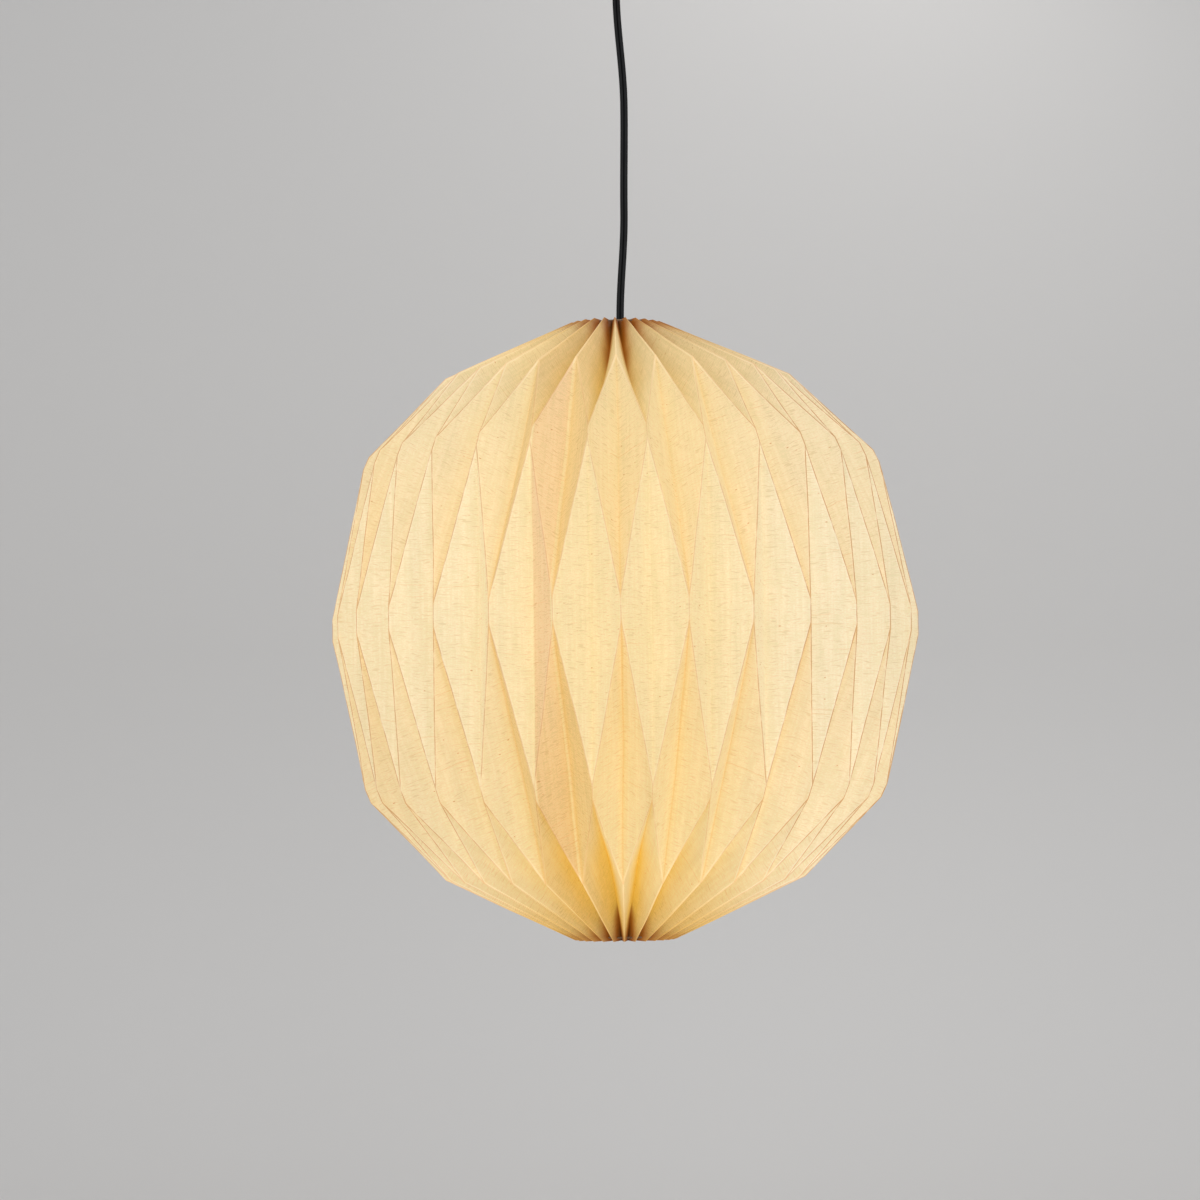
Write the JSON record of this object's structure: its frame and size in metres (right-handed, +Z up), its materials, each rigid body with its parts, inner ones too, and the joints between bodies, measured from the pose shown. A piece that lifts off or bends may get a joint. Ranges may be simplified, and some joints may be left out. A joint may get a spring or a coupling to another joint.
{
  "type": "paper_pendant_lamp",
  "caption": "Folded paper pendant lamp: a lit globe of pleated diamond folds, gathered at top and bottom, on a black twin cord from a round ceiling cup",
  "frame": {"origin": "on the ceiling, at the middle of the bracket's two screw holes", "axes": "+Z up along the cord, +X along the line of the two ceiling screws, -Y the side that faces the room in the usual view"},
  "size_m": [0.4382, 0.44, 0.7862],
  "materials": {
    "paper": "laminated paper with fine threads and flecks, lit from inside",
    "elastic": "round covered elastic",
    "black_plastic": "moulded, satin",
    "white_ceramic": "glazed",
    "brass": "bright stamped",
    "steel": "zinc plated",
    "opal_glass": "opal, lit",
    "cord_sheath": "smooth black sheath"
  },
  "bodies": {
    "root": {"shade": "paper", "top_tie": "elastic", "bottom_tie": "elastic", "carrier_disc": "steel", "holder_grip": "black_plastic", "holder_cap": "black_plastic", "holder_skirt": "black_plastic", "holder_core": "white_ceramic", "terminal_screws": "brass", "centre_contact": "brass", "screw_sleeve": "brass", "bulb": "opal_glass", "cord": "cord_sheath", "cup_grip": "black_plastic", "grip_nut": "steel", "ceiling_cup": "black_plastic", "ceiling_bracket": "steel", "cup_screws": "steel", "terminal_block": "white_ceramic", "block_screws": "brass"}
  },
  "joints": []
}
